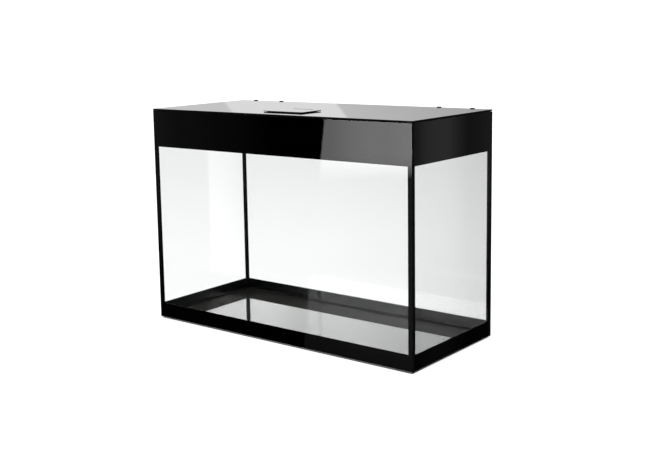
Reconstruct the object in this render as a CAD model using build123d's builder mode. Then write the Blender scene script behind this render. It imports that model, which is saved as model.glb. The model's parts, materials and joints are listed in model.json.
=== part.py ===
from build123d import *
import os

# A glass aquarium tank: four float glass walls with black enamel bands, a glass floor on a foam
# mat, and a hinged black glass lid with a feeding hatch and two lamps that turn in their clips.
# Millimetres. The origin is at the centre of the footprint, on the surface the tank stands on.
# +X is the tank's right, +Y its rear and +Z is up.

os.makedirs("parts", exist_ok=True)

# Overall size, to the top face of the lid
width = 800
depth = 350
height = 560
half_width = width / 2
half_depth = depth / 2

# Glass and the mat below it
wall = 6
floor_thickness = 8
lid_thickness = 4
lid_corner = 1
mat_thickness = 3
mat_inset = 3
mat_corner = 3
arris = 0.6  # ground edge of every pane
lid_gap = 0.5  # free air between the walls and the lid
wall_bottom = mat_thickness
floor_top = wall_bottom + floor_thickness
lid_bottom = height - lid_thickness
wall_top = lid_bottom - lid_gap
rear_wall_top = wall_top - 0.4  # the lid's rear edge swings down past the rear wall
wall_height = wall_top - wall_bottom
rear_wall_height = rear_wall_top - wall_bottom
inner_x = half_width - wall
inner_y = half_depth - wall

# Black enamel fired on the inner face of each wall
enamel = 0.2
lower_band_top = 42
upper_band_bottom = 461
strip = 14  # upright strip at each end of a wall
window_height = upper_band_bottom - lower_band_top
window_middle = (upper_band_bottom + lower_band_top) / 2
enamel_x = inner_x - enamel
enamel_y = inner_y - enamel

# Silicone
joint = 0.6  # from a wall's glass to the next pane
bead = 4  # leg of the triangular bead in each inner corner
bead_slope = 42
side_pane_end = inner_y - joint
floor_x = enamel_x - joint
floor_y = enamel_y - joint

# The rear wall's upper edge is cut down between its ends, for hoses and the lid's rear edge
hose_slot_width = 760
hose_slot_bottom = 543
hose_slot_radius = 5
hose_slot_fillet = 4.9

# Glass braces inside the front and rear walls
brace_thickness = 6
brace_width = 44
brace_outer_y = inner_y - joint
brace_middle_y = brace_outer_y - brace_width / 2
front_brace_bottom = 545
rear_brace_bottom = 536
front_brace_top = front_brace_bottom + brace_thickness
rear_brace_top = rear_brace_bottom + brace_thickness

# Rubber feet on the front brace that the closed lid rests on
bumper_radius = 5
bumper_round = 1
bumper_places = [-350, -120, 120, 350]

# Lid hinges: a base on the rear brace, a leaf clamped to the lid's rear edge, and a pin
hinge_places = [("left", -300.75), ("right", 300.75)]
hinge_y = 172
hinge_z = 551
barrel_radius = 3
hinge_pin_radius = 1.5
hinge_pin_chamfer = 0.3
hinge_running_clearance = 0.06
knuckle_length = 14
knuckle_pitch = 14.5
fixed_knuckles = [-2 * knuckle_pitch, 0, 2 * knuckle_pitch]
moving_knuckles = [-knuckle_pitch, knuckle_pitch]
barrel_length = 4 * knuckle_pitch + knuckle_length
pad_thickness = 0.5
pad_inset = 1
hinge_foot_thickness = 2.5
hinge_foot_front = 132
hinge_foot_rear = 168.4
hinge_foot_corner = 4
hinge_web_front = 164.4
leaf_thickness = 3
leaf_length = 106
leaf_front = 130
leaf_setback = 165.3  # rear edge of the leaf beside the fixed knuckles
leaf_side_gap = 0.5  # from the barrel's ends to the leaf
leaf_corner = 1.5
jaw_offset = 46.75  # from the hinge's middle to each jaw
jaw_width = 9
jaw_front = 168
jaw_height = 2  # above the lid's top face
jaw_back_thickness = 2
jaw_clearance = 0.2  # between a jaw and its notch in the lid's rear edge
jaw_round = 0.6
clamp_screw_radius = 2
clamp_screw_y = 170.5
clamp_screw_length = 5.5
clamp_socket_radius = 1.1
clamp_socket_depth = 2

# Feeding hatch in the lid
hatch_width = 120
hatch_depth = 76
hatch_y = -89.5
hatch_thickness = 2
hatch_bottom = height + 1
hatch_corner = 2
hatch_arris = 0.4
feed_width = 94
feed_depth = 50
feed_wall = 3
feed_flange = 4
feed_radius = 5
feed_frame_bottom = lid_bottom - 3
feed_flange_top = height + 0.7
feed_clearance = 0.2
seal_inset = 0.5

# Hatch hinge
hatch_hinge_y = -48.5
hatch_hinge_z = height + 1.9
hatch_barrel_radius = 1.7
hatch_pin_radius = 0.8
hatch_pin_clearance = 0.04
hatch_knuckle_length = 11.6
hatch_knuckle_pitch = 12
hatch_barrel_length = 4 * hatch_knuckle_pitch + hatch_knuckle_length
hatch_leaf_thickness = 0.8
hatch_leaf_gap = 2  # from the hinge axis to the near edge of each leaf
hatch_neck = 2.5  # from the hinge axis to where a knuckle joins its leaf
hatch_base_rear = -36
hatch_leaf_front = -57

# Lamps under the lid
lamp_places = [("front", -5), ("rear", 75)]
lamp_z = 530
lamp_radius = 12.5
lamp_wall = 1.6
lamp_half_length = 275
cap_radius = 13
cap_length = 20
cap_chamfer = 1.5
spigot_length = 8
spigot_top = -3
spigot_clearance = 0.1
board_width = 14
board_thickness = 1.5
board_setback = 2
chip_size = 2.8
chip_height = 0.7
chip_count = 18
chip_pitch = 30
groove_width = 1
groove_depth = 0.8
groove_count = 7
cable_hole_radius = 3.2
gland_flange_radius = 5.5
gland_tip_radius = 4
gland_bore_radius = 2
gland_length = 12
gland_flange = 2
gland_taper = 4

# Rails and clips that carry the lamps
clip_x = lamp_half_length + cap_length / 2
rail_width = 20
rail_height = 8
rail_wall = 1.6
rail_slot = 8
rail_front = -30
rail_rear = 100
rail_top = lid_bottom - pad_thickness
rail_bottom = rail_top - rail_height
clip_width = 12
clip_inner_radius = 13.05
clip_outer_radius = 16
clip_mouth = 20
clip_lip_round = 0.8
clip_block_width = 20
clip_screw_radius = 1.5
clip_screw_length = 9
clip_screw_cone = 41  # half angle of the countersunk head, degrees
clip_screw_head = 2.9
clip_screw_head_height = 1.6
clip_sink_radius = 3.4
clip_sink_depth = 0.4  # the sink starts this far below the top of the bore
nut_width = 12
nut_depth = 8
nut_thickness = 2.4
nut_corner = 1

# ---------------------------------------------------------------- base

with BuildPart() as base_mat:
    with BuildSketch():
        RectangleRounded(width - 2 * mat_inset, depth - 2 * mat_inset, mat_corner)
    extrude(amount=mat_thickness)
base_mat.part.label = "base_mat"
export_step(base_mat.part, "parts/base_mat.step")

with BuildPart() as bottom_pane:
    with BuildSketch(Plane.XY.offset(wall_bottom)):
        Rectangle(2 * floor_x, 2 * floor_y)
    extrude(amount=floor_thickness)
    chamfer(bottom_pane.edges(), arris)
bottom_pane.part.label = "bottom_pane"
export_step(bottom_pane.part, "parts/bottom_pane.step")

# ---------------------------------------------------------------- walls

with BuildPart() as front_pane:
    with BuildSketch(Plane.XY.offset(wall_bottom)):
        with Locations((0, wall / 2 - half_depth)):
            Rectangle(width, wall)
    extrude(amount=wall_height)
    chamfer(front_pane.edges(), arris)
front_pane.part.label = "front_pane"
export_step(front_pane.part, "parts/front_pane.step")


def rear_wall_outline():
    """The rear wall seen from the front: a rectangle whose upper edge is cut down for hoses."""
    with BuildSketch(Plane.XZ) as outline:
        with Locations((0, (wall_bottom + rear_wall_top) / 2)):
            Rectangle(width, rear_wall_height)
        with Locations((0, hose_slot_bottom + hose_slot_radius)):
            RectangleRounded(hose_slot_width, 2 * hose_slot_radius, hose_slot_fillet,
                             mode=Mode.SUBTRACT)
        with Locations((0, hose_slot_bottom + 3 * hose_slot_radius)):
            Rectangle(hose_slot_width, 4 * hose_slot_radius, mode=Mode.SUBTRACT)
    return outline.sketch


rear_outline = rear_wall_outline()

with BuildPart() as rear_pane:
    with BuildSketch(Plane.XZ.offset(-half_depth)):
        add(Plane.XZ.to_local_coords(rear_outline))
    extrude(amount=wall)
    chamfer(rear_pane.faces().sort_by(Axis.Y)[-1].edges(), arris)
rear_pane.part.label = "rear_pane"
export_step(rear_pane.part, "parts/rear_pane.step")

for side, sign in (("left", -1), ("right", 1)):
    with BuildPart() as side_pane:
        with BuildSketch(Plane.XY.offset(wall_bottom)):
            with Locations((sign * (half_width - wall / 2), 0)):
                Rectangle(wall, 2 * side_pane_end)
        extrude(amount=wall_height)
        chamfer(side_pane.edges(), arris)
    side_pane.part.label = f"{side}_pane"
    export_step(side_pane.part, f"parts/{side}_pane.step")

# ---------------------------------------------------------------- enamel

with BuildPart() as front_enamel:
    with BuildSketch(Plane.XZ.offset(inner_y)):
        with Locations((0, (wall_bottom + wall_top) / 2)):
            Rectangle(width, wall_height)
        with Locations((0, window_middle)):
            Rectangle(width - 2 * strip, window_height, mode=Mode.SUBTRACT)
    extrude(amount=-enamel)
front_enamel.part.label = "front_enamel"
export_step(front_enamel.part, "parts/front_enamel.step")

with BuildPart() as rear_enamel:
    with BuildSketch(Plane.XZ.offset(-inner_y)):
        add(Plane.XZ.to_local_coords(rear_outline))
        with Locations((0, window_middle)):
            Rectangle(width - 2 * strip, window_height, mode=Mode.SUBTRACT)
    extrude(amount=enamel)
rear_enamel.part.label = "rear_enamel"
export_step(rear_enamel.part, "parts/rear_enamel.step")

for side, sign in (("left", -1), ("right", 1)):
    with BuildPart() as side_enamel:
        with BuildSketch(Plane.YZ.offset(sign * inner_x)):
            with Locations((0, (wall_bottom + wall_top) / 2)):
                Rectangle(2 * side_pane_end, wall_height)
            with Locations((0, window_middle)):
                Rectangle(depth - 2 * strip, window_height, mode=Mode.SUBTRACT)
        extrude(amount=-sign * enamel)
    side_enamel.part.label = f"{side}_enamel"
    export_step(side_enamel.part, f"parts/{side}_enamel.step")

# ---------------------------------------------------------------- braces

with BuildPart() as front_brace:
    with BuildSketch(Plane.XY.offset(front_brace_bottom)):
        with Locations((0, -brace_middle_y)):
            Rectangle(2 * floor_x, brace_width)
    extrude(amount=brace_thickness)
    chamfer(front_brace.edges(), arris)
front_brace.part.label = "front_brace"
export_step(front_brace.part, "parts/front_brace.step")

with BuildPart() as rear_brace:
    with BuildSketch(Plane.XY.offset(rear_brace_bottom)):
        with Locations((0, brace_middle_y)):
            Rectangle(2 * floor_x, brace_width)
    extrude(amount=brace_thickness)
    chamfer(rear_brace.edges(), arris)
rear_brace.part.label = "rear_brace"
export_step(rear_brace.part, "parts/rear_brace.step")

# ---------------------------------------------------------------- silicone

# Upright joints between the walls, each with a bead in the inner corner
with BuildPart() as corner_seams:
    with BuildSketch(Plane.XY.offset(wall_bottom)):
        with GridLocations(width - wall, enamel_y + side_pane_end, 2, 2):
            Rectangle(wall, enamel_y - side_pane_end)
    extrude(amount=wall_height)
    with BuildSketch(Plane.XY.offset(floor_top + bead)):
        with BuildLine():
            Polyline(
                (inner_x + enamel, enamel_y),
                (inner_x + enamel, side_pane_end),
                (enamel_x, side_pane_end),
                (enamel_x, enamel_y - bead),
                (enamel_x - bead, enamel_y),
                close=True,
            )
        make_face()
        mirror(about=Plane.YZ)
        mirror(about=Plane.XZ)
    extrude(amount=rear_brace_bottom - floor_top - 2 * bead)
corner_seams.part.label = "corner_seams"
export_step(corner_seams.part, "parts/corner_seams.step")

# The joint round the floor pane, with a bead that narrows upwards
with BuildPart() as floor_seam:
    with BuildSketch(Plane.XY.offset(wall_bottom)):
        Rectangle(2 * enamel_x, 2 * enamel_y)
        Rectangle(2 * floor_x, 2 * floor_y, mode=Mode.SUBTRACT)
    extrude(amount=floor_thickness)
    with BuildSketch(Plane.XY.offset(floor_top)):
        Rectangle(2 * enamel_x, 2 * enamel_y)
    extrude(amount=bead)
    with BuildSketch(Plane.XY.offset(floor_top)):
        Rectangle(2 * (enamel_x - bead), 2 * (enamel_y - bead))
    extrude(amount=bead, taper=-bead_slope, mode=Mode.SUBTRACT)
floor_seam.part.label = "floor_seam"
export_step(floor_seam.part, "parts/floor_seam.step")

# The joint along each brace, with a bead below it
with BuildPart() as brace_seams:
    for sign, bottom in ((-1, front_brace_bottom), (1, rear_brace_bottom)):
        with BuildSketch(Plane.YZ.offset(-floor_x)):
            with BuildLine():
                Polyline(
                    (sign * enamel_y, bottom - bead),
                    (sign * (enamel_y - bead), bottom),
                    (sign * brace_outer_y, bottom),
                    (sign * brace_outer_y, bottom + brace_thickness),
                    (sign * enamel_y, bottom + brace_thickness),
                    close=True,
                )
            make_face()
        extrude(amount=2 * floor_x)
brace_seams.part.label = "brace_seams"
export_step(brace_seams.part, "parts/brace_seams.step")

# ---------------------------------------------------------------- lid rests

with BuildPart() as lid_bumpers:
    with BuildSketch(Plane.XY.offset(front_brace_top)):
        with Locations(*[(place, -brace_middle_y) for place in bumper_places]):
            Circle(bumper_radius)
    extrude(amount=lid_bottom - front_brace_top)
    fillet(lid_bumpers.edges().group_by(Axis.Z)[-1], bumper_round)
lid_bumpers.part.label = "lid_bumpers"
export_step(lid_bumpers.part, "parts/lid_bumpers.step")

# ---------------------------------------------------------------- lid glass

with BuildPart() as lid_glass:
    with BuildSketch(Plane.XY.offset(lid_bottom)):
        RectangleRounded(width, depth, lid_corner)
        with Locations((0, hatch_y)):
            RectangleRounded(
                feed_width + 2 * (feed_wall + feed_clearance),
                feed_depth + 2 * (feed_wall + feed_clearance),
                feed_radius + feed_wall,
                mode=Mode.SUBTRACT,
            )
        for side, hinge_x in hinge_places:
            with Locations((hinge_x - jaw_offset, half_depth), (hinge_x + jaw_offset, half_depth)):
                Rectangle(jaw_width + 2 * jaw_clearance, 2 * (jaw_back_thickness + jaw_clearance),
                          mode=Mode.SUBTRACT)
    extrude(amount=lid_thickness)
    chamfer(lid_glass.edges().group_by(Axis.Z)[-1], arris)
    chamfer(lid_glass.edges().group_by(Axis.Z)[0], arris)
lid_glass.part.label = "lid_glass"
export_step(lid_glass.part, "parts/lid_glass.step")

# ---------------------------------------------------------------- lid hinges

hinge_foot_bottom = rear_brace_top + pad_thickness
hinge_foot_middle = (hinge_foot_front + hinge_foot_rear) / 2
hinge_foot_top = hinge_foot_bottom + hinge_foot_thickness
leaf_bottom = lid_bottom - leaf_thickness
knuckle_neck_front = leaf_setback - 1

with BuildPart() as hinge_pads:
    with BuildSketch(Plane.XY.offset(rear_brace_top)):
        with Locations(*[(hinge_x, hinge_foot_middle) for side, hinge_x in hinge_places]):
            Rectangle(barrel_length - 2 * pad_inset,
                      hinge_foot_rear - hinge_foot_front - 2 * pad_inset)
    extrude(amount=pad_thickness)
hinge_pads.part.label = "hinge_pads"
export_step(hinge_pads.part, "parts/hinge_pads.step")

for side, hinge_x in hinge_places:
    # The base stands on the rear brace and carries the three fixed knuckles
    with BuildPart() as hinge_base:
        with BuildSketch(Plane.XY.offset(hinge_foot_bottom)):
            with Locations((hinge_x, hinge_foot_middle)):
                Rectangle(barrel_length, hinge_foot_rear - hinge_foot_front)
        extrude(amount=hinge_foot_thickness)
        fillet(hinge_base.edges().filter_by(Axis.Z).group_by(Axis.Y)[0], hinge_foot_corner)
        for knuckle in fixed_knuckles:
            with BuildSketch(Plane.YZ.offset(hinge_x + knuckle - knuckle_length / 2)):
                with Locations((hinge_y, hinge_z)):
                    Circle(barrel_radius)
                with Locations(((hinge_web_front + hinge_y) / 2, (hinge_foot_top + hinge_z) / 2)):
                    Rectangle(hinge_y - hinge_web_front, hinge_z - hinge_foot_top)
            extrude(amount=knuckle_length)
        with BuildSketch(Plane.YZ.offset(hinge_x - barrel_length / 2)):
            with Locations((hinge_y, hinge_z)):
                Circle(hinge_pin_radius)
        extrude(amount=barrel_length, mode=Mode.SUBTRACT)
    hinge_base.part.label = f"{side}_hinge_base"
    export_step(hinge_base.part, f"parts/{side}_hinge_base.step")

    # The leaf lies under the lid, and two jaws grip the lid's rear edge
    with BuildPart() as hinge_leaf:
        with BuildSketch(Plane.XY.offset(leaf_bottom)):
            with Locations((hinge_x, (leaf_front + half_depth) / 2)):
                RectangleRounded(leaf_length, half_depth - leaf_front, leaf_corner)
            with Locations((hinge_x, (leaf_setback + half_depth) / 2)):
                Rectangle(barrel_length + 2 * leaf_side_gap, half_depth - leaf_setback,
                          mode=Mode.SUBTRACT)
        extrude(amount=leaf_thickness)
        with BuildSketch(Plane.XY.offset(leaf_bottom)):
            with Locations((hinge_x - jaw_offset, half_depth - jaw_back_thickness / 2),
                           (hinge_x + jaw_offset, half_depth - jaw_back_thickness / 2)):
                Rectangle(jaw_width, jaw_back_thickness)
        extrude(amount=height + jaw_height - leaf_bottom)
        with BuildSketch(Plane.XY.offset(height)):
            with Locations((hinge_x - jaw_offset, (jaw_front + half_depth) / 2),
                           (hinge_x + jaw_offset, (jaw_front + half_depth) / 2)):
                Rectangle(jaw_width, half_depth - jaw_front)
        extrude(amount=jaw_height)
        fillet(hinge_leaf.edges().group_by(Axis.Z)[-1], jaw_round)
        for knuckle in moving_knuckles:
            with BuildSketch(Plane.YZ.offset(hinge_x + knuckle - knuckle_length / 2)):
                with Locations((hinge_y, hinge_z)):
                    Circle(barrel_radius)
                with Locations((hinge_y - barrel_radius / 2, (hinge_z + lid_bottom) / 2)):
                    Rectangle(barrel_radius, lid_bottom - hinge_z)
                with Locations(((knuckle_neck_front + hinge_y) / 2, (leaf_bottom + lid_bottom) / 2)):
                    Rectangle(hinge_y - knuckle_neck_front, leaf_thickness)
            extrude(amount=knuckle_length)
        with BuildSketch(Plane.YZ.offset(hinge_x - barrel_length / 2)):
            with Locations((hinge_y, hinge_z)):
                Circle(hinge_pin_radius + hinge_running_clearance)
        extrude(amount=barrel_length, mode=Mode.SUBTRACT)
        with BuildSketch(Plane.XY.offset(leaf_bottom)):
            with Locations((hinge_x - jaw_offset, clamp_screw_y),
                           (hinge_x + jaw_offset, clamp_screw_y)):
                Circle(clamp_screw_radius)
        extrude(amount=leaf_thickness, mode=Mode.SUBTRACT)
    hinge_leaf.part.label = f"{side}_hinge_leaf"
    export_step(hinge_leaf.part, f"parts/{side}_hinge_leaf.step")

    with BuildPart() as hinge_pin:
        with BuildSketch(Plane.YZ.offset(hinge_x - barrel_length / 2)):
            with Locations((hinge_y, hinge_z)):
                Circle(hinge_pin_radius)
        extrude(amount=barrel_length)
        chamfer(hinge_pin.edges(), hinge_pin_chamfer)
    hinge_pin.part.label = f"{side}_hinge_pin"
    export_step(hinge_pin.part, f"parts/{side}_hinge_pin.step")

# Grub screws under the jaws, with a hexagon socket in the lower end
with BuildPart() as hinge_clamp_screws:
    screw_places = [
        (hinge_x + offset, clamp_screw_y)
        for side, hinge_x in hinge_places
        for offset in (-jaw_offset, jaw_offset)
    ]
    with BuildSketch(Plane.XY.offset(lid_bottom - clamp_screw_length)):
        with Locations(*screw_places):
            Circle(clamp_screw_radius)
    extrude(amount=clamp_screw_length)
    with BuildSketch(Plane.XY.offset(lid_bottom - clamp_screw_length)):
        with Locations(*screw_places):
            RegularPolygon(clamp_socket_radius, 6)
    extrude(amount=clamp_socket_depth, mode=Mode.SUBTRACT)
hinge_clamp_screws.part.label = "hinge_clamp_screws"
export_step(hinge_clamp_screws.part, "parts/hinge_clamp_screws.step")

# ---------------------------------------------------------------- feeding hatch

with BuildPart() as feed_frame:
    with BuildSketch(Plane.XY.offset(feed_frame_bottom)):
        with Locations((0, hatch_y)):
            RectangleRounded(feed_width + 2 * feed_wall, feed_depth + 2 * feed_wall,
                             feed_radius + feed_wall)
    extrude(amount=feed_flange_top - feed_frame_bottom)
    with BuildSketch(Plane.XY.offset(height)):
        with Locations((0, hatch_y)):
            RectangleRounded(feed_width + 2 * (feed_wall + feed_flange),
                             feed_depth + 2 * (feed_wall + feed_flange),
                             feed_radius + feed_wall + feed_flange)
    extrude(amount=feed_flange_top - height)
    with BuildSketch(Plane.XY.offset(feed_frame_bottom)):
        with Locations((0, hatch_y)):
            RectangleRounded(feed_width, feed_depth, feed_radius)
    extrude(amount=feed_flange_top - feed_frame_bottom, mode=Mode.SUBTRACT)
feed_frame.part.label = "feed_frame"
export_step(feed_frame.part, "parts/feed_frame.step")

with BuildPart() as hatch_plate:
    with BuildSketch(Plane.XY.offset(hatch_bottom)):
        with Locations((0, hatch_y)):
            RectangleRounded(hatch_width, hatch_depth, hatch_corner)
    extrude(amount=hatch_thickness)
    chamfer(hatch_plate.edges().group_by(Axis.Z)[-1], hatch_arris)
hatch_plate.part.label = "hatch_plate"
export_step(hatch_plate.part, "parts/hatch_plate.step")

# A thin rubber seal under the plate closes onto the feed frame
with BuildPart() as hatch_seal:
    with BuildSketch(Plane.XY.offset(feed_flange_top)):
        with Locations((0, hatch_y)):
            RectangleRounded(feed_width + 2 * feed_wall, feed_depth + 2 * feed_wall,
                             feed_radius + feed_wall)
            RectangleRounded(feed_width + 2 * seal_inset, feed_depth + 2 * seal_inset, feed_radius,
                             mode=Mode.SUBTRACT)
    extrude(amount=hatch_bottom - feed_flange_top)
hatch_seal.part.label = "hatch_seal"
export_step(hatch_seal.part, "parts/hatch_seal.step")

hatch_knuckle_start = -hatch_knuckle_length / 2
hatch_fixed_knuckles = [-2 * hatch_knuckle_pitch, 0, 2 * hatch_knuckle_pitch]
hatch_moving_knuckles = [-hatch_knuckle_pitch, hatch_knuckle_pitch]
hatch_base_front = hatch_hinge_y + hatch_leaf_gap
hatch_leaf_rear = hatch_hinge_y - hatch_leaf_gap

with BuildPart() as hatch_hinge_base:
    with BuildSketch(Plane.XY.offset(height)):
        with Locations((0, (hatch_base_front + hatch_base_rear) / 2)):
            Rectangle(hatch_barrel_length, hatch_base_rear - hatch_base_front)
    extrude(amount=hatch_leaf_thickness)
    for knuckle in hatch_fixed_knuckles:
        with BuildSketch(Plane.YZ.offset(knuckle + hatch_knuckle_start)):
            with Locations((hatch_hinge_y, hatch_hinge_z)):
                Circle(hatch_barrel_radius)
            with Locations((hatch_hinge_y + hatch_neck / 2, height + hatch_leaf_thickness * 3 / 4)):
                Rectangle(hatch_neck, hatch_leaf_thickness)
        extrude(amount=hatch_knuckle_length)
    with BuildSketch(Plane.YZ.offset(-hatch_barrel_length / 2)):
        with Locations((hatch_hinge_y, hatch_hinge_z)):
            Circle(hatch_pin_radius)
    extrude(amount=hatch_barrel_length, mode=Mode.SUBTRACT)
hatch_hinge_base.part.label = "hatch_hinge_base"
export_step(hatch_hinge_base.part, "parts/hatch_hinge_base.step")

with BuildPart() as hatch_hinge_leaf:
    with BuildSketch(Plane.XY.offset(hatch_bottom - hatch_leaf_thickness)):
        with Locations((0, (hatch_leaf_front + hatch_leaf_rear) / 2)):
            Rectangle(hatch_barrel_length, hatch_leaf_rear - hatch_leaf_front)
    extrude(amount=hatch_leaf_thickness)
    for knuckle in hatch_moving_knuckles:
        with BuildSketch(Plane.YZ.offset(knuckle + hatch_knuckle_start)):
            with Locations((hatch_hinge_y, hatch_hinge_z)):
                Circle(hatch_barrel_radius)
            with Locations((hatch_hinge_y - hatch_neck / 2, hatch_bottom - hatch_leaf_thickness / 2)):
                Rectangle(hatch_neck, hatch_leaf_thickness)
        extrude(amount=hatch_knuckle_length)
    with BuildSketch(Plane.YZ.offset(-hatch_barrel_length / 2)):
        with Locations((hatch_hinge_y, hatch_hinge_z)):
            Circle(hatch_pin_radius + hatch_pin_clearance)
    extrude(amount=hatch_barrel_length, mode=Mode.SUBTRACT)
hatch_hinge_leaf.part.label = "hatch_hinge_leaf"
export_step(hatch_hinge_leaf.part, "parts/hatch_hinge_leaf.step")

with BuildPart() as hatch_hinge_pin:
    with BuildSketch(Plane.YZ.offset(-hatch_barrel_length / 2)):
        with Locations((hatch_hinge_y, hatch_hinge_z)):
            Circle(hatch_pin_radius)
    extrude(amount=hatch_barrel_length)
hatch_hinge_pin.part.label = "hatch_hinge_pin"
export_step(hatch_hinge_pin.part, "parts/hatch_hinge_pin.step")

# ---------------------------------------------------------------- lamp rails and clips

rail_middle = (rail_front + rail_rear) / 2
rail_length = rail_rear - rail_front
clip_places = [(sign * clip_x, lamp_y) for sign in (-1, 1) for name, lamp_y in lamp_places]
nut_bottom = rail_bottom + rail_wall
clip_ring_top = lamp_z + clip_inner_radius
clip_screw_bottom = clip_ring_top + 0.05

with BuildPart() as rail_pads:
    with BuildSketch(Plane.XY.offset(rail_top)):
        with Locations((-clip_x, rail_middle), (clip_x, rail_middle)):
            Rectangle(rail_width - 2 * pad_inset, rail_length - 2 * pad_inset)
    extrude(amount=pad_thickness)
rail_pads.part.label = "rail_pads"
export_step(rail_pads.part, "parts/rail_pads.step")

for side, sign in (("left", -1), ("right", 1)):
    # A slotted aluminium section, open downwards
    with BuildPart() as light_rail:
        with BuildSketch(Plane.XZ.offset(-rail_rear)):
            with Locations((sign * clip_x, (rail_bottom + rail_top) / 2)):
                Rectangle(rail_width, rail_height)
                Rectangle(rail_width - 2 * rail_wall, rail_height - 2 * rail_wall,
                          mode=Mode.SUBTRACT)
            with Locations((sign * clip_x, rail_bottom + rail_wall / 2)):
                Rectangle(rail_slot, rail_wall, mode=Mode.SUBTRACT)
        extrude(amount=rail_length)
    light_rail.part.label = f"{side}_light_rail"
    export_step(light_rail.part, f"parts/{side}_light_rail.step")

    for name, lamp_y in lamp_places:
        with BuildPart() as lamp_clip:
            with BuildSketch(Plane.YZ.offset(sign * clip_x - clip_width / 2)):
                with Locations((lamp_y, lamp_z)):
                    Circle(clip_outer_radius)
                with Locations((lamp_y, (lamp_z + rail_bottom) / 2)):
                    Rectangle(clip_block_width, rail_bottom - lamp_z)
                with Locations((lamp_y, lamp_z)):
                    Circle(clip_inner_radius, mode=Mode.SUBTRACT)
                with Locations((lamp_y, lamp_z - clip_outer_radius)):
                    Rectangle(clip_mouth, clip_outer_radius, mode=Mode.SUBTRACT)
            extrude(amount=clip_width)
            fillet(lamp_clip.edges().filter_by(Axis.X).group_by(Axis.Z)[0], clip_lip_round)
            sink_start = (sign * clip_x, lamp_y, clip_ring_top - clip_sink_depth)
            with Locations(Plane(sink_start, z_dir=(0, 0, -1))):
                CounterSinkHole(clip_screw_radius, clip_sink_radius,
                                counter_sink_angle=2 * clip_screw_cone)
        lamp_clip.part.label = f"{name}_{side}_clip"
        export_step(lamp_clip.part, f"parts/{name}_{side}_clip.step")

with BuildPart() as rail_nuts:
    with BuildSketch(Plane.XY.offset(nut_bottom)):
        with Locations(*clip_places):
            RectangleRounded(nut_width, nut_depth, nut_corner)
            Circle(clip_screw_radius, mode=Mode.SUBTRACT)
    extrude(amount=nut_thickness)
rail_nuts.part.label = "rail_nuts"
export_step(rail_nuts.part, "parts/rail_nuts.step")

# Countersunk screws go up through the clips, just clear of the lamps' caps
with BuildPart() as clip_screws:
    with BuildSketch(Plane.XY.offset(clip_screw_bottom)):
        with Locations(*clip_places):
            Circle(clip_screw_radius)
    extrude(amount=clip_screw_length)
    with BuildSketch(Plane.XY.offset(clip_screw_bottom)):
        with Locations(*clip_places):
            Circle(clip_screw_head)
    extrude(amount=clip_screw_head_height, taper=clip_screw_cone)
clip_screws.part.label = "clip_screws"
export_step(clip_screws.part, "parts/clip_screws.step")

# ---------------------------------------------------------------- lamps

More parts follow.
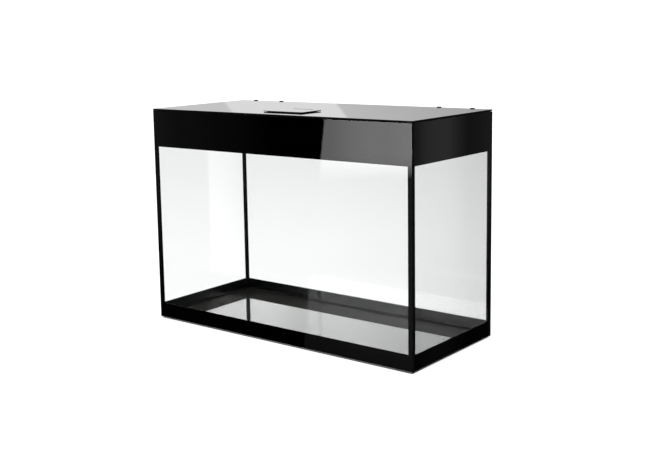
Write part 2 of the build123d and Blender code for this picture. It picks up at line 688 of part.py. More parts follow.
for name, lamp_y in lamp_places:
    # The upper half is an aluminium section with cooling grooves and a shelf for the board
    with BuildPart() as lamp_housing:
        with BuildSketch(Plane.YZ.offset(-lamp_half_length)):
            with Locations((lamp_y, lamp_z)):
                Circle(lamp_radius)
                Circle(lamp_radius - lamp_wall, mode=Mode.SUBTRACT)
            with Locations((lamp_y, lamp_z + lamp_wall / 2)):
                Rectangle(2 * lamp_radius - lamp_wall, lamp_wall)
            with Locations((lamp_y, lamp_z - lamp_radius / 2)):
                Rectangle(2 * lamp_radius, lamp_radius, mode=Mode.SUBTRACT)
            with Locations((lamp_y, lamp_z)):
                with PolarLocations(lamp_radius, groove_count, start_angle=36, angular_range=108,
                                    endpoint=True):
                    Rectangle(2 * groove_depth, groove_width, mode=Mode.SUBTRACT)
        extrude(amount=2 * lamp_half_length)
    lamp_housing.part.label = f"{name}_lamp_housing"
    export_step(lamp_housing.part, f"parts/{name}_lamp_housing.step")

    with BuildPart() as lamp_diffuser:
        with BuildSketch(Plane.YZ.offset(-lamp_half_length)):
            with Locations((lamp_y, lamp_z)):
                Circle(lamp_radius)
                Circle(lamp_radius - lamp_wall, mode=Mode.SUBTRACT)
            with Locations((lamp_y, lamp_z + lamp_radius / 2)):
                Rectangle(2 * lamp_radius, lamp_radius, mode=Mode.SUBTRACT)
        extrude(amount=2 * lamp_half_length)
    lamp_diffuser.part.label = f"{name}_lamp_diffuser"
    export_step(lamp_diffuser.part, f"parts/{name}_lamp_diffuser.step")

    with BuildPart() as led_board:
        with BuildSketch(Plane.XY.offset(lamp_z - board_thickness)):
            with Locations((0, lamp_y)):
                Rectangle(2 * (lamp_half_length - board_setback), board_width)
        extrude(amount=board_thickness)
        with BuildSketch(Plane.XY.offset(lamp_z - board_thickness - chip_height)):
            with Locations((0, lamp_y)):
                with GridLocations(chip_pitch, 1, chip_count, 1):
                    Rectangle(chip_size, chip_size)
        extrude(amount=chip_height)
    led_board.part.label = f"{name}_led_board"
    export_step(led_board.part, f"parts/{name}_led_board.step")

    for side, sign in (("left", -1), ("right", 1)):
        # The cap turns in its clip, and its half-round spigot plugs into the diffuser
        with BuildPart() as lamp_cap:
            with BuildSketch(Plane.YZ.offset(sign * lamp_half_length)):
                with Locations((lamp_y, lamp_z)):
                    Circle(cap_radius)
            extrude(amount=sign * cap_length)
            outer_end = lamp_cap.faces().sort_by(Axis.X)[-1 if sign > 0 else 0]
            chamfer(outer_end.edges(), cap_chamfer)
            with BuildSketch(Plane.YZ.offset(sign * lamp_half_length)):
                with Locations((lamp_y, lamp_z)):
                    Circle(lamp_radius - lamp_wall - spigot_clearance)
                with Locations((lamp_y, lamp_z + spigot_top + lamp_radius)):
                    Rectangle(2 * lamp_radius, 2 * lamp_radius, mode=Mode.SUBTRACT)
            extrude(amount=-sign * spigot_length)
            if side == "right":
                with BuildSketch(Plane.YZ.offset(sign * lamp_half_length)):
                    with Locations((lamp_y, lamp_z)):
                        Circle(cable_hole_radius)
                extrude(amount=cap_length, mode=Mode.SUBTRACT)
        lamp_cap.part.label = f"{name}_lamp_{side}_cap"
        export_step(lamp_cap.part, f"parts/{name}_lamp_{side}_cap.step")

    # A rubber gland for the lamp's cable
    with BuildPart() as lamp_gland:
        with BuildSketch(Plane.YZ.offset(lamp_half_length + cap_length / 2)):
            with Locations((lamp_y, lamp_z)):
                Circle(cable_hole_radius)
        extrude(amount=cap_length / 2)
        with BuildSketch(Plane.YZ.offset(lamp_half_length + cap_length)):
            with Locations((lamp_y, lamp_z)):
                Circle(gland_flange_radius)
        extrude(amount=gland_flange)
        with BuildSketch(Plane.YZ.offset(lamp_half_length + cap_length + gland_flange)):
            with Locations((lamp_y, lamp_z)):
                Circle(gland_tip_radius)
        extrude(amount=gland_length - gland_flange, taper=gland_taper)
        with BuildSketch(Plane.YZ.offset(lamp_half_length + cap_length / 2)):
            with Locations((lamp_y, lamp_z)):
                Circle(gland_bore_radius)
        extrude(amount=cap_length / 2 + gland_length, mode=Mode.SUBTRACT)
    lamp_gland.part.label = f"{name}_lamp_gland"
    export_step(lamp_gland.part, f"parts/{name}_lamp_gland.step")
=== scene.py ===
import json
import math

import bmesh
import bpy
from mathutils import Matrix, Vector, noise


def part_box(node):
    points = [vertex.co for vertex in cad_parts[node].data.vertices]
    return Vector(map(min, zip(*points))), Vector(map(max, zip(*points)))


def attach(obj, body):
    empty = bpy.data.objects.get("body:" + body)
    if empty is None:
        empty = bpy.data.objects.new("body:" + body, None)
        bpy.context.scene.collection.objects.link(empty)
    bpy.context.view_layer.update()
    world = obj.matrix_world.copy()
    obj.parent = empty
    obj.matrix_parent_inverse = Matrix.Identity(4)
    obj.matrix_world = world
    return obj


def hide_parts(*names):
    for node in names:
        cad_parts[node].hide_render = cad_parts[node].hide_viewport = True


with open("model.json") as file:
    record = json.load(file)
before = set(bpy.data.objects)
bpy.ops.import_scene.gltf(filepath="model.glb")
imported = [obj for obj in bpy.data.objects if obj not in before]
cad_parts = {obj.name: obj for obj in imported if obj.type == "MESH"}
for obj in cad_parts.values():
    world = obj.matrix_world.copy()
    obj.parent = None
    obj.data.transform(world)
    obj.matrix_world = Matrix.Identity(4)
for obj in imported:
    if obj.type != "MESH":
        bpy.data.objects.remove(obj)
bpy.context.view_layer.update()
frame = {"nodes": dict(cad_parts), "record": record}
nodes = frame["nodes"]
record = frame["record"]
scene = bpy.context.scene

MM = 0.001

# ------------------------------------------------------------------ node helpers


def new_material(name, **sockets):
    """A material with one Principled shader, its sockets set by name."""
    m = bpy.data.materials.new(name)
    m.use_nodes = True
    shader = m.node_tree.nodes["Principled BSDF"]
    for socket, value in sockets.items():
        shader.inputs[socket.replace("_", " ")].default_value = value
    return m, m.node_tree, shader


def add_node(tree, kind, inputs=None, **settings):
    n = tree.nodes.new(kind)
    for key, value in settings.items():
        setattr(n, key, value)
    for key, value in (inputs or {}).items():
        if isinstance(value, bpy.types.NodeSocket):
            tree.links.new(value, n.inputs[key])
        else:
            n.inputs[key].default_value = value
    return n


def place(tree, stretch=(1, 1, 1)):
    """The point on the piece in metres, stretched along each axis."""
    coordinate = add_node(tree, "ShaderNodeTexCoord")
    return add_node(
        tree, "ShaderNodeMapping", {"Vector": coordinate.outputs["Object"], "Scale": stretch}
    ).outputs[0]


def noise_at(tree, point, scale, detail=4, rough=0.55):
    return add_node(
        tree, "ShaderNodeTexNoise",
        {"Vector": point, "Scale": scale, "Detail": detail, "Roughness": rough},
    ).outputs[0]


def between(tree, value, low, high, start=0.3, end=0.7):
    """value, from start to end, as a number from low to high."""
    return add_node(
        tree, "ShaderNodeMapRange",
        {"Value": value, "From Min": start, "From Max": end, "To Min": low, "To Max": high},
    ).outputs[0]


def mix_colours(tree, factor, a, b):
    n = add_node(tree, "ShaderNodeMix", data_type="RGBA")
    tree.links.new(factor, n.inputs[0])
    n.inputs[6].default_value = (*a, 1)
    n.inputs[7].default_value = (*b, 1)
    return n.outputs[2]


def bump(tree, height, distance, strength=1.0):
    return add_node(
        tree, "ShaderNodeBump", {"Height": height, "Distance": distance, "Strength": strength}
    ).outputs[0]


def finish_material(tree, shader, colour=None, roughness=None, normal=None):
    for socket, value in (("Base Color", colour), ("Roughness", roughness), ("Normal", normal)):
        if value is not None:
            tree.links.new(value, shader.inputs[socket])


# ------------------------------------------------------------------ materials


def clear_glass():
    """Float glass: clear, faintly green, and it lets lamps' light through."""
    m, tree, shader = new_material("clear_glass", IOR=1.52, Roughness=0.0, Transmission_Weight=1.0)
    tint = mix_colours(tree, noise_at(tree, place(tree), 3, 2), (0.976, 0.987, 0.983), (0.984, 0.991, 0.988))
    finish_material(tree, shader, colour=tint)
    through = add_node(tree, "ShaderNodeBsdfTransparent", {"Color": (0.945, 0.97, 0.96, 1)})
    path = add_node(tree, "ShaderNodeLightPath")
    mix = add_node(tree, "ShaderNodeMixShader")
    tree.links.new(path.outputs["Is Shadow Ray"], mix.inputs[0])
    tree.links.new(shader.outputs[0], mix.inputs[1])
    tree.links.new(through.outputs[0], mix.inputs[2])
    tree.links.new(mix.outputs[0], tree.nodes["Material Output"].inputs["Surface"])
    return m


def ground_edge():
    """The ground arris of a pane: fine frosting, lighter where the wheel has cut deeper."""
    m, tree, shader = new_material("ground_edge", IOR=1.5)
    point = place(tree)
    grain = noise_at(tree, point, 1800, 3)
    colour = mix_colours(tree, noise_at(tree, point, 60), (0.42, 0.48, 0.46), (0.58, 0.63, 0.61))
    finish_material(tree, shader, colour, between(tree, grain, 0.4, 0.6), bump(tree, grain, 0.00005))
    return m


def black_glass():
    """The lid's black-backed glass, with a trace of wiping marks and dust."""
    m, tree, shader = new_material("black_glass", IOR=1.52)
    wipe = noise_at(tree, place(tree, (1, 5, 1)), 9, 5, 0.6)
    dust = noise_at(tree, place(tree), 700, 2)
    colour = mix_colours(tree, dust, (0.0035, 0.0035, 0.004), (0.006, 0.006, 0.0065))
    finish_material(tree, shader, colour, between(tree, wipe, 0.002, 0.014))
    return m


def black_edge():
    """A ground edge, stained black."""
    m, tree, shader = new_material("black_edge", IOR=1.5, Specular_IOR_Level=0.02)
    grain = noise_at(tree, place(tree), 1500, 3)
    colour = mix_colours(tree, grain, (0.0015, 0.0015, 0.0017), (0.003, 0.003, 0.0032))
    finish_material(tree, shader, colour, between(tree, grain, 0.35, 0.5), bump(tree, grain, 0.00003))
    return m


def enamel():
    """Fired black enamel seen in air: glossy, with a fine ceramic grain."""
    m, tree, shader = new_material("enamel", IOR=1.5)
    grain = noise_at(tree, place(tree), 2600, 3)
    patches = noise_at(tree, place(tree), 25, 3)
    colour = mix_colours(tree, patches, (0.002, 0.002, 0.0022), (0.004, 0.004, 0.0043))
    finish_material(tree, shader, colour, between(tree, grain, 0.03, 0.08))
    return m


def enamel_bond():
    """The same enamel seen through the glass that it is fired on, where it has no gloss of its own."""
    m, tree, shader = new_material("enamel_bond", IOR=1.0, Roughness=1.0, Specular_IOR_Level=0.0)
    patches = noise_at(tree, place(tree), 18, 3)
    colour = mix_colours(tree, patches, (0.0002, 0.0002, 0.00022), (0.0004, 0.0004, 0.00044))
    finish_material(tree, shader, colour)
    return m


def silicone():
    """Black silicone, smooth from tooling, with faint ripples."""
    m, tree, shader = new_material("silicone", IOR=1.43, Specular_IOR_Level=0.25)
    ripple = noise_at(tree, place(tree, (1, 1, 0.25)), 240, 3)
    pores = noise_at(tree, place(tree), 2500, 2)
    colour = mix_colours(tree, ripple, (0.006, 0.006, 0.0065), (0.011, 0.011, 0.012))
    finish_material(tree, shader, colour, between(tree, pores, 0.4, 0.55), bump(tree, ripple, 0.00012))
    return m


def foam():
    """Closed-cell foam: dark, matte, with small cells in its cut edge. On the mat's sides this darker colour is
    painted shade.
    """
    m, tree, shader = new_material("foam", IOR=1.4, Specular_IOR_Level=0.2)
    cells = add_node(tree, "ShaderNodeTexVoronoi", {"Vector": place(tree), "Scale": 1600.0}).outputs["Distance"]
    patches = noise_at(tree, place(tree), 60, 3)
    colour = mix_colours(tree, patches, (0.011, 0.011, 0.011), (0.026, 0.026, 0.026))
    finish_material(tree, shader, colour, between(tree, patches, 0.85, 0.98), bump(tree, cells, 0.0002))
    return m


def foam_top_lit_copy():
    """The mat's upper face: warm dark grey, with a fine emboss. It is lighter than the foam on the sides, whose
    darker colour is painted shade.
    """
    m, tree, shader = new_material("foam_top_lit_copy", IOR=1.45, Specular_IOR_Level=0.2)
    emboss = noise_at(tree, place(tree, (1, 3, 1)), 420, 3)
    patches = noise_at(tree, place(tree, (1, 2.5, 1)), 14, 4)
    colour = mix_colours(tree, patches, (0.058, 0.056, 0.052), (0.078, 0.075, 0.069))
    finish_material(tree, shader, colour, between(tree, patches, 0.7, 0.85), bump(tree, emboss, 0.0001))
    return m


def rubber(name, low, high, sheen_rough=(0.5, 0.68), grain_scale=1400):
    m, tree, shader = new_material(name, IOR=1.45)
    grain = noise_at(tree, place(tree), grain_scale, 3)
    patches = noise_at(tree, place(tree), 90, 3)
    colour = mix_colours(tree, patches, (low,) * 3, (high,) * 3)
    finish_material(tree, shader, colour, between(tree, grain, *sheen_rough), bump(tree, grain, 0.00005))
    return m


def powder_coat():
    """Black powder coat on metal: fine orange peel."""
    m, tree, shader = new_material("hinge_metal", IOR=1.5, Coat_Weight=0.25, Coat_Roughness=0.2)
    peel = noise_at(tree, place(tree), 900, 2, 0.4)
    speck = noise_at(tree, place(tree), 120, 4)
    colour = mix_colours(tree, speck, (0.011, 0.011, 0.012), (0.02, 0.02, 0.022))
    finish_material(tree, shader, colour, between(tree, peel, 0.3, 0.42), bump(tree, peel, 0.00006))
    return m


def turned_steel():
    m, tree, shader = new_material("steel", Metallic=1.0)
    rings = noise_at(tree, place(tree, (40, 3, 3)), 120, 3)
    colour = mix_colours(tree, rings, (0.52, 0.52, 0.54), (0.68, 0.68, 0.7))
    finish_material(tree, shader, colour, between(tree, rings, 0.2, 0.36), bump(tree, rings, 0.00001))
    return m


def moulded_plastic():
    m, tree, shader = new_material("black_plastic", IOR=1.49)
    spark = add_node(tree, "ShaderNodeTexVoronoi", {"Vector": place(tree), "Scale": 2200.0}).outputs["Distance"]
    flow = noise_at(tree, place(tree), 35, 4)
    colour = mix_colours(tree, flow, (0.014, 0.014, 0.015), (0.026, 0.026, 0.028))
    finish_material(tree, shader, colour, between(tree, flow, 0.38, 0.5), bump(tree, spark, 0.00004, 0.6))
    return m


def anodised():
    """Extruded aluminium: faint die lines along its length under a satin anodised skin."""
    m, tree, shader = new_material("aluminium", Metallic=1.0)
    lines = noise_at(tree, place(tree, (0.3, 40, 40)), 60, 4)
    colour = mix_colours(tree, lines, (0.66, 0.67, 0.69), (0.8, 0.81, 0.82))
    finish_material(tree, shader, colour, between(tree, lines, 0.28, 0.42), bump(tree, lines, 0.00002))
    return m


def opal():
    m, tree, shader = new_material("opal", IOR=1.49, Subsurface_Weight=0.6, Subsurface_Scale=0.004)
    lines = noise_at(tree, place(tree, (0.4, 30, 30)), 50, 3)
    colour = mix_colours(tree, lines, (0.84, 0.85, 0.85), (0.9, 0.91, 0.91))
    finish_material(tree, shader, colour, between(tree, lines, 0.3, 0.4))
    return m


def board():
    m, tree, shader = new_material("board", IOR=1.5)
    copper = add_node(
        tree, "ShaderNodeTexBrick",
        {"Vector": place(tree), "Scale": 60.0, "Mortar Size": 0.03},
        offset=0.5,
    ).outputs["Fac"]
    colour = mix_colours(tree, copper, (0.82, 0.83, 0.81), (0.7, 0.72, 0.68))
    finish_material(tree, shader, colour, between(tree, noise_at(tree, place(tree), 500), 0.25, 0.35))
    return m


def phosphor():
    m, tree, shader = new_material("phosphor", IOR=1.45)
    grain = noise_at(tree, place(tree), 1500, 3)
    colour = mix_colours(tree, grain, (0.86, 0.66, 0.12), (0.92, 0.74, 0.2))
    finish_material(tree, shader, colour, between(tree, grain, 0.15, 0.3))
    return m


SLOTS = {
    "clear_glass": clear_glass(),
    "black_glass": black_glass(),
    "enamel": enamel(),
    "silicone": silicone(),
    "foam": foam(),
    "bumper_rubber": rubber("bumper_rubber", 0.022, 0.036),
    "hinge_metal": powder_coat(),
    "steel": turned_steel(),
    "black_plastic": moulded_plastic(),
    "aluminium": anodised(),
    "opal": opal(),
    "board": board(),
    "tape": rubber("tape", 0.04, 0.06, (0.75, 0.9), 1900),
}
GROUND_EDGE = ground_edge()
BLACK_EDGE = black_edge()
ENAMEL_BOND = enamel_bond()
PHOSPHOR = phosphor()
FOAM_TOP_LIT_COPY = foam_top_lit_copy()

slot_of = {part["node"]: part["material_slot"] for part in record["subparts"]}
for name, node in nodes.items():
    node.data.materials.clear()
    node.data.materials.append(SLOTS[slot_of[name]])


def repaint(name, material, wanted):
    """Gives another material to the faces of a CAD node that wanted(middle, normal) picks."""
    mesh = nodes[name].data
    mesh.materials.append(material)
    for face in mesh.polygons:
        if wanted(face.center, face.normal):
            face.material_index = len(mesh.materials) - 1


def is_slanted(normal):
    return max(abs(part) for part in normal) < 0.95


# The lower arris of each wall is ground and left frosted. Above it, the edges are stained black
top_of_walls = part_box("front_pane")[1].z
for name in ("front_pane", "rear_pane", "left_pane", "right_pane"):
    long_axis = 0 if name in ("front_pane", "rear_pane") else 1
    repaint(name, GROUND_EDGE, lambda middle, normal: is_slanted(normal) and normal.z < -0.3)
    repaint(name, BLACK_EDGE, lambda middle, normal: normal.z > 0.3 and middle.z > top_of_walls - 2 * MM)
    repaint(
        name, BLACK_EDGE,
        lambda middle, normal: (abs(normal[long_axis]) > 0.9 or is_slanted(normal)) and abs(normal.z) < 0.1,
    )
repaint("lid_glass", BLACK_EDGE, lambda middle, normal: abs(normal.z) < 0.9)
repaint("hatch_plate", BLACK_EDGE, lambda middle, normal: normal.z < 0.9)
for name in ("front_led_board", "rear_led_board"):
    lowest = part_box(name)[0].z
    repaint(name, PHOSPHOR, lambda middle, normal: middle.z < lowest + 0.1 * MM)

# ------------------------------------------------------------------ mesh helpers


def new_piece(name, bm, slot, body, replaced, materials=None):
    bmesh.ops.recalc_face_normals(bm, faces=bm.faces)
    mesh = bpy.data.meshes.new(name)
    bm.to_mesh(mesh)
    bm.free()
    for m in materials or [SLOTS[slot]]:
        mesh.materials.append(m)
    piece = bpy.data.objects.new(name, mesh)
    scene.collection.objects.link(piece)
    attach(piece, body)
    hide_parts(*replaced)
    return piece


def rings_to_surface(bm, rings):
    """Joins closed rings of points, each to the next, and caps the ends."""
    made = [[bm.verts.new(point) for point in ring] for ring in rings]
    for a, b in zip(made, made[1:]):
        for i in range(len(a)):
            j = (i + 1) % len(a)
            bm.faces.new((a[i], a[j], b[j], b[i]))
    bm.faces.new(made[0])
    bm.faces.new(made[-1])


# ------------------------------------------------------------------ enamel

# The fired layer sits in the glass surface by a hair, so that glass and enamel have no face in common
BOND = 0.06 * MM
HAIR = 0.01 * MM
for name, axis, sign in (("front", 1, -1), ("rear", 1, 1), ("left", 0, -1), ("right", 0, 1)):
    node = nodes[f"{name}_enamel"]
    low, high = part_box(f"{name}_enamel")
    outer = high[axis] if sign > 0 else low[axis]
    bm = bmesh.new()
    bm.from_mesh(node.data)
    bmesh.ops.remove_doubles(bm, verts=bm.verts, dist=1e-6)
    for vert in bm.verts:
        if abs(vert.co[axis] - outer) < HAIR:
            vert.co[axis] += sign * BOND
    bm.normal_update()
    for face in bm.faces:
        face.material_index = 1 if face.normal[axis] * sign > 0.5 else 0
    new_piece(f"{name}_band", bm, "enamel", "tank", [f"{name}_enamel"], [SLOTS["enamel"], ENAMEL_BOND])

# ------------------------------------------------------------------ foam mat

low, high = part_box("base_mat")
bm = bmesh.new()
MAT_CORNER = 3 * MM
MAT_RISE = 0.05 * MM
CORNER_STEPS = 6
# How far the mat's side is drawn in, in millimetres, at each share of its height: it bulges slightly
MAT_SIDE = ((0, 0.35), (0.12, 0.08), (0.5, -0.12), (0.88, 0.08), (1, 0.3))
rings = []
for share, inset in MAT_SIDE:
    ring = []
    z = low.z + share * (high.z + MAT_RISE - low.z)
    for quarter, (sx, sy) in enumerate(((1, 1), (-1, 1), (-1, -1), (1, -1))):
        centre = Vector((sx * (high.x - MAT_CORNER), sy * (high.y - MAT_CORNER), z))
        for step in range(CORNER_STEPS + 1):
            turn = math.radians(90 * quarter + 90 / CORNER_STEPS * step)
            radius = MAT_CORNER - inset * MM
            ring.append(centre + radius * Vector((math.cos(turn), math.sin(turn), 0)))
    rings.append(ring)
rings_to_surface(bm, rings)
bm.normal_update()
# The upper face takes the lighter colour; the sides keep the darker foam colour as painted shade.
for face in bm.faces:
    is_upper = abs(face.normal.z) > 0.9 and face.calc_center_median().z > high.z / 2
    face.material_index = 1 if is_upper else 0
mat = new_piece("foam_mat", bm, "foam", "tank", ["base_mat"], [SLOTS["foam"], FOAM_TOP_LIT_COPY])

# ------------------------------------------------------------------ silicone beads

floor_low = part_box("floor_seam")[0]
bottom_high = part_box("bottom_pane")[1]
corner_low, corner_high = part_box("corner_seams")
BEAD = 4 * MM
ARC_STEPS = 8
WAVES = 28  # cells of the wobble's noise to a metre


def bead_profile(size):
    """From one wall to the other, a concave arc: (distance from wall A, distance from wall B)."""
    points = []
    for step in range(ARC_STEPS + 1):
        turn = math.pi / 2 * step / ARC_STEPS
        points.append((size * (1 - math.sin(turn)), size * (1 - math.cos(turn))))
    return points


def wobble(point, amount=0.16 * MM):
    """A small, slow change in a bead's size along its length."""
    return amount * noise.noise(Vector(point) * WAVES)


inner_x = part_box("left_enamel")[1].x
inner_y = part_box("front_enamel")[1].y
top_of_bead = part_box("rear_brace")[0].z - BEAD
bottom_of_bead = bottom_high.z + BEAD * 0.6
bm = bmesh.new()
STEPS_UP = 90
TUCK = 0.03 * MM  # how far the corner beads go into the walls' enamel
JOINT_GAP = 0.15 * MM
for sx in (-1, 1):
    for sy in (-1, 1):
        rings = []
        for step in range(STEPS_UP + 1):
            z = bottom_of_bead + (top_of_bead - bottom_of_bead) * step / STEPS_UP
            size = BEAD + wobble((sx, sy, z))
            ring = [(sx * (abs(inner_x) + TUCK), sy * (abs(inner_y) + TUCK), z)]
            for from_x, from_y in bead_profile(size):
                ring.append((sx * (abs(inner_x) - from_x), sy * (abs(inner_y) - from_y), z))
            rings.append(ring)
        rings_to_surface(bm, rings)
        # The thin joint between the side wall's end and the other wall
        side_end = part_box("right_pane")[1].y
        joint = bmesh.ops.create_cube(bm, size=1)["verts"]
        width_of_joint = corner_high.x - abs(inner_x)
        for vert in joint:
            vert.co.x = sx * (corner_high.x - JOINT_GAP - (0.5 - vert.co.x) * (width_of_joint - JOINT_GAP))
            vert.co.y = sy * (side_end + (vert.co.y + 0.5) * (corner_high.y - side_end))
            vert.co.z = corner_low.z + (vert.co.z + 0.5) * (corner_high.z - corner_low.z)
new_piece("corner_beads", bm, "silicone", "tank", ["corner_seams"])

bm = bmesh.new()
STEPS_ALONG = 60
FLOOR_TUCK = 0.02 * MM
ON_SIDE = 1e-6  # how near a point is to a side of its ring to lie on it
half_x, half_y = abs(inner_x), abs(inner_y)
top = bottom_high.z


def rectangle_ring(inset, z):
    ring = []
    x, y = half_x - inset, half_y - inset
    corners = [Vector((x, y, z)), Vector((-x, y, z)), Vector((-x, -y, z)), Vector((x, -y, z))]
    for i in range(4):
        a, b = corners[i], corners[(i + 1) % 4]
        for step in range(STEPS_ALONG):
            ring.append(a.lerp(b, step / STEPS_ALONG))
    return ring


rings = [rectangle_ring(-FLOOR_TUCK, floor_low.z)]
rings.append(rectangle_ring(-FLOOR_TUCK, top + BEAD))
for from_wall, above in bead_profile(BEAD)[::-1]:
    ring = rectangle_ring(from_wall, top + above)
    for point in ring:
        change = wobble(point, 0.12 * MM)
        if 0.2 * MM < from_wall:
            if abs(abs(point.x) - (half_x - from_wall)) < ON_SIDE:
                point.x -= math.copysign(change, point.x)
            if abs(abs(point.y) - (half_y - from_wall)) < ON_SIDE:
                point.y -= math.copysign(change, point.y)
    rings.append(ring)
rings.append(rectangle_ring(half_x - bottom_high.x, top - 0.05 * MM))
rings.append(rectangle_ring(half_x - bottom_high.x, floor_low.z))
made = [[bm.verts.new(point) for point in ring] for ring in rings]
made.append(made[0])
for a, b in zip(made, made[1:]):
    for i in range(len(a)):
        j = (i + 1) % len(a)
        bm.faces.new((a[i], a[j], b[j], b[i]))
new_piece("floor_bead", bm, "silicone", "tank", ["floor_seam"])

# ------------------------------------------------------------------ floor, world and camera

floor_mesh = bpy.data.meshes.new("studio_floor")
REACH = 30
floor_mesh.from_pydata(
    [(-REACH, -REACH, 0), (REACH, -REACH, 0), (REACH, REACH, 0), (-REACH, REACH, 0)], [], [(0, 1, 2, 3)]
)
studio_floor = bpy.data.objects.new("studio_floor", floor_mesh)
scene.collection.objects.link(studio_floor)
studio_floor.location.z = -0.2 * MM  # clear of the mat's lower face
floor_material = new_material(
    "studio_floor", Base_Color=(0.6, 0.6, 0.6, 1), Roughness=0.9, Specular_IOR_Level=0.0,
    Emission_Color=(1, 1, 1, 1), Emission_Strength=0.62,
)[0]
floor_mesh.materials.append(floor_material)
studio_floor.visible_glossy = False
studio_floor.visible_transmission = False


def ramp(tree, value, stops, start, end):
    """A number that follows stops, (value, number) pairs, between start and end. The numbers go from 0 to 1."""
    n = add_node(tree, "ShaderNodeValToRGB")
    while len(n.color_ramp.elements) < len(stops):
        n.color_ramp.elements.new(0.5)
    for element, (at, number) in zip(n.color_ramp.elements, stops):
        element.position = (at - start) / (end - start)
        element.color = (number, number, number, 1)
    spread = add_node(tree, "ShaderNodeMapRange", {"Value": value, "From Min": start, "From Max": end})
    tree.links.new(spread.outputs[0], n.inputs[0])
    return n.outputs[0]


def maths(tree, operation, a, b=0.0):
    n = add_node(tree, "ShaderNodeMath", operation=operation)
    for i, value in enumerate((a, b)):
        if isinstance(value, bpy.types.NodeSocket):
            tree.links.new(value, n.inputs[i])
        else:
            n.inputs[i].default_value = value
    return n.outputs[0]


world = bpy.data.worlds.new("studio")
scene.world = world
world.use_nodes = True
tree = world.node_tree
background = tree.nodes["Background"]
direction = add_node(tree, "ShaderNodeTexCoord").outputs["Generated"]
parts = add_node(tree, "ShaderNodeSeparateXYZ", {0: direction})
DEGREES = 180 / math.pi
up = maths(tree, "MULTIPLY", maths(tree, "ARCSINE", parts.outputs[2]), DEGREES)
turn = maths(
    tree, "MULTIPLY",
    maths(tree, "ARCTAN2", maths(tree, "MULTIPLY", parts.outputs[0], -1.0), parts.outputs[1]),
    DEGREES,
)
# From -100 to 260 degrees, so that the whole front is in one piece
turn = maths(tree, "ADD", turn, maths(tree, "MULTIPLY", maths(tree, "LESS_THAN", turn, -100.0), 360.0))


def times(a, b):
    return maths(tree, "MULTIPLY", a, b)


def plus(a, b):
    return maths(tree, "ADD", a, b)


def step_at(value, start, width):
    """0 below start, then 1 after width."""
    return add_node(
        tree, "ShaderNodeMapRange", {"Value": value, "From Min": start, "From Max": start + width}
    ).outputs[0]


def choose(factor, a, b):
    """a where factor is 0, b where it is 1."""
    return add_node(tree, "ShaderNodeMix", {0: factor, 2: a, 3: b}, data_type="FLOAT").outputs[0]


above = step_at(up, -0.5, 1.0)
# The light in front fades from its left part towards the right
fading = maths(tree, "SUBTRACT", 1.0, times(step_at(turn, 150.0, 14.0), 0.85))
in_front = step_at(turn, 90.0, 1.0)
on_left = step_at(turn, -1.0, 2.0)

# Behind the tank: a bright sweep that gets brighter upwards, and dims towards the right
SWEEP = 3.4
sweep_up = ramp(tree, up, ((0, 0.3), (3.5, 0.31), (5, 0.35), (12, 0.6), (18, 0.82), (40, 1.0)), 0, 90)
leaning = plus(turn, times(plus(maths(tree, "MINIMUM", up, 6.0), -4.5), 0.75))
sweep_round = ramp(
    tree, leaning,
    ((28, 0.46), (29, 0.5), (32, 0.56), (36.75, 0.67), (36.95, 0.93), (42.75, 0.93), (42.95, 0.74),
     (48, 0.74)),
    28, 48,
)
HIGH_SWEEP = 3.3
high_sweep = times(ramp(
    tree, turn,
    ((28, 0.45), (33.7, 0.57), (35.2, 0.65), (36.5, 0.72), (38.7, 0.75), (39.4, 0.775), (40.1, 0.84),
     (40.8, 0.92), (41.5, 0.97), (43, 0.84), (48, 0.7)),
    28, 48,
), HIGH_SWEEP)
sweep = choose(step_at(up, 8.0, 3.0), times(times(sweep_up, sweep_round), SWEEP), high_sweep)

# In front on the left: a tall softbox with one sharp side, fading towards the ground
SOFTBOX = 3.84
softbox_up = ramp(
    tree, up,
    ((-20, 0.02), (-17, 0.04), (-14, 0.05), (-8.3, 0.05), (-7.5, 0.9), (-7, 1.0), (0, 1.0)),
    -20, 0,
)
softbox_side = plus(142.7, times(up, 0.111))
softbox_mask = step_at(maths(tree, "SUBTRACT", turn, softbox_side), 0.0, 0.12)
softbox_round = ramp(
    tree, turn,
    ((141.5, 0.59), (142.5, 0.617), (143.6, 0.78), (144.6, 0.884), (145.7, 0.9), (146.7, 1.0)),
    141, 147,
)
# The rest of the room below eye level is dark
room = choose(
    in_front,
    ramp(
        tree, turn,
        ((-33.4, 0.05), (-32.75, 0.11), (-32.2, 0.22), (-31.6, 0.25), (-31, 0.245), (-30.55, 0.15),
         (-29.95, 0.065), (-29.4, 0.075), (-28.8, 0.1), (-28, 0.12)),
        -34, -28,
    ),
    ramp(
        tree, turn,
        ((130, 0.12), (133.1, 0.108), (134.1, 0.07), (135.2, 0.062), (136.2, 0.045), (137.2, 0.038),
         (138.3, 0.016), (139.3, 0.001), (142, 0.001)),
        130, 142,
    ),
)
room_up = ramp(tree, up, ((-18, 0.1), (-14, 0.12), (-9, 1.0), (0, 1.0)), -20, 0)
softbox = times(times(softbox_up, softbox_round), times(softbox_mask, SOFTBOX))
mirrored = choose(above, plus(times(softbox, fading), times(room, room_up)), sweep)

# Straight through the glass the backdrop is a little greyer than the white around the tank
WHITE = 1.2
BACKDROP_UP = 1.08
backdrop_round = ramp(
    tree, turn,
    ((-60, 0.94), (20, 0.72), (29.3, 0.728), (29.8, 0.745), (30.8, 0.8), (32.15, 0.825), (33.7, 0.87),
     (36.9, 0.917), (40, 0.958), (46.3, 0.98), (90, 0.98)),
    -180, 180,
)
backdrop_up = ramp(
    tree, up,
    ((-90, 0.97), (-15, 0.99), (-12, 0.98), (-9.7, 0.926), (-7.5, 0.866), (-5, 0.85), (90, 0.9)),
    -90, 90,
)
backdrop = times(times(backdrop_round, WHITE), times(backdrop_up, BACKDROP_UP))
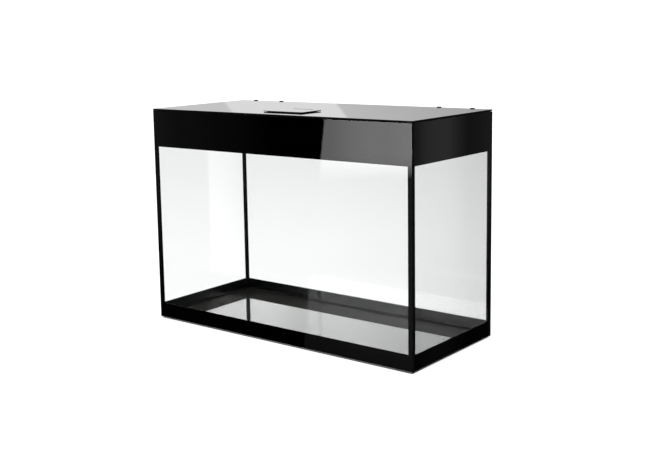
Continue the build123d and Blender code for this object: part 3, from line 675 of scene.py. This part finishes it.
# What the tank's inner faces mirror, out through the glass
left_glow = ramp(
    tree, turn,
    ((-48, 0.02), (-44.35, 0.04), (-44.2, 0.6), (-43.8, 0.58), (-43.3, 0.45), (-42.85, 0.3),
     (-42.4, 0.18), (-42, 0.08), (-40, 0.05)),
    -48, -40,
)
FRONT_GLOW = 1.5
HIGH_FRONT, HIGH_FRONT_LEAST = 4.2, 0.3
LOW_LEFT_GLOW, HIGH_LEFT_GLOW = 2.0, 6.0
front_glow = times(
    times(times(softbox_mask, fading), step_at(times(up, -1.0), 13.2, 0.8)),
    times(ramp(tree, turn, ((141, 0.3), (143, 0.37), (145, 0.41), (147, 0.5)), 141, 147), FRONT_GLOW),
)
high_front = plus(times(times(step_at(turn, 141.1, 0.1), fading), HIGH_FRONT), HIGH_FRONT_LEAST)
inner = choose(
    above,
    choose(in_front, choose(on_left, times(left_glow, LOW_LEFT_GLOW), backdrop), front_glow),
    choose(in_front, choose(on_left, times(left_glow, HIGH_LEFT_GLOW), sweep), high_front),
)
path = add_node(tree, "ShaderNodeLightPath")
bounced = step_at(path.outputs["Glossy Depth"], 0.4, 0.2)
seen_through = choose(bounced, backdrop, inner)

# What is seen directly is white. A ray through clear glass counts as glossy too
strength = choose(path.outputs["Is Glossy Ray"], WHITE, mirrored)
strength = choose(path.outputs["Is Transmission Ray"], strength, seen_through)
tree.links.new(strength, background.inputs["Strength"])
background.inputs["Color"].default_value = (1, 1, 1, 1)

camera_data = bpy.data.cameras.new("camera")
camera = bpy.data.objects.new("camera", camera_data)
scene.collection.objects.link(camera)
scene.camera = camera
AZIMUTH, ELEVATION, ROLL = (math.radians(a) for a in (39.179, 8.575, -1.11))
FOCAL = 1040.055
PIXELS_WIDE, PIXELS_HIGH = 645, 465
CENTRE_X, CENTRE_Y = 300.68, 185.0
forward = Vector((
    -math.sin(AZIMUTH) * math.cos(ELEVATION), math.cos(AZIMUTH) * math.cos(ELEVATION), -math.sin(ELEVATION),
))
level_right = Vector((math.cos(AZIMUTH), math.sin(AZIMUTH), 0))
level_up = level_right.cross(forward)
right = math.cos(ROLL) * level_right + math.sin(ROLL) * level_up
upward = -math.sin(ROLL) * level_right + math.cos(ROLL) * level_up
place_of_camera = Vector((1.605651, -2.032811, 0.759582))
camera.matrix_world = Matrix((
    (right.x, upward.x, -forward.x, place_of_camera.x),
    (right.y, upward.y, -forward.y, place_of_camera.y),
    (right.z, upward.z, -forward.z, place_of_camera.z),
    (0, 0, 0, 1),
))
SENSOR = 36
camera_data.sensor_width = SENSOR
camera_data.lens = FOCAL * SENSOR / PIXELS_WIDE
camera_data.shift_x = (PIXELS_WIDE / 2 - CENTRE_X) / PIXELS_WIDE
camera_data.shift_y = -(PIXELS_HIGH / 2 - CENTRE_Y) / PIXELS_WIDE
camera_data.clip_start = 0.01
camera_data.clip_end = 200

scene.view_settings.view_transform = "Standard"
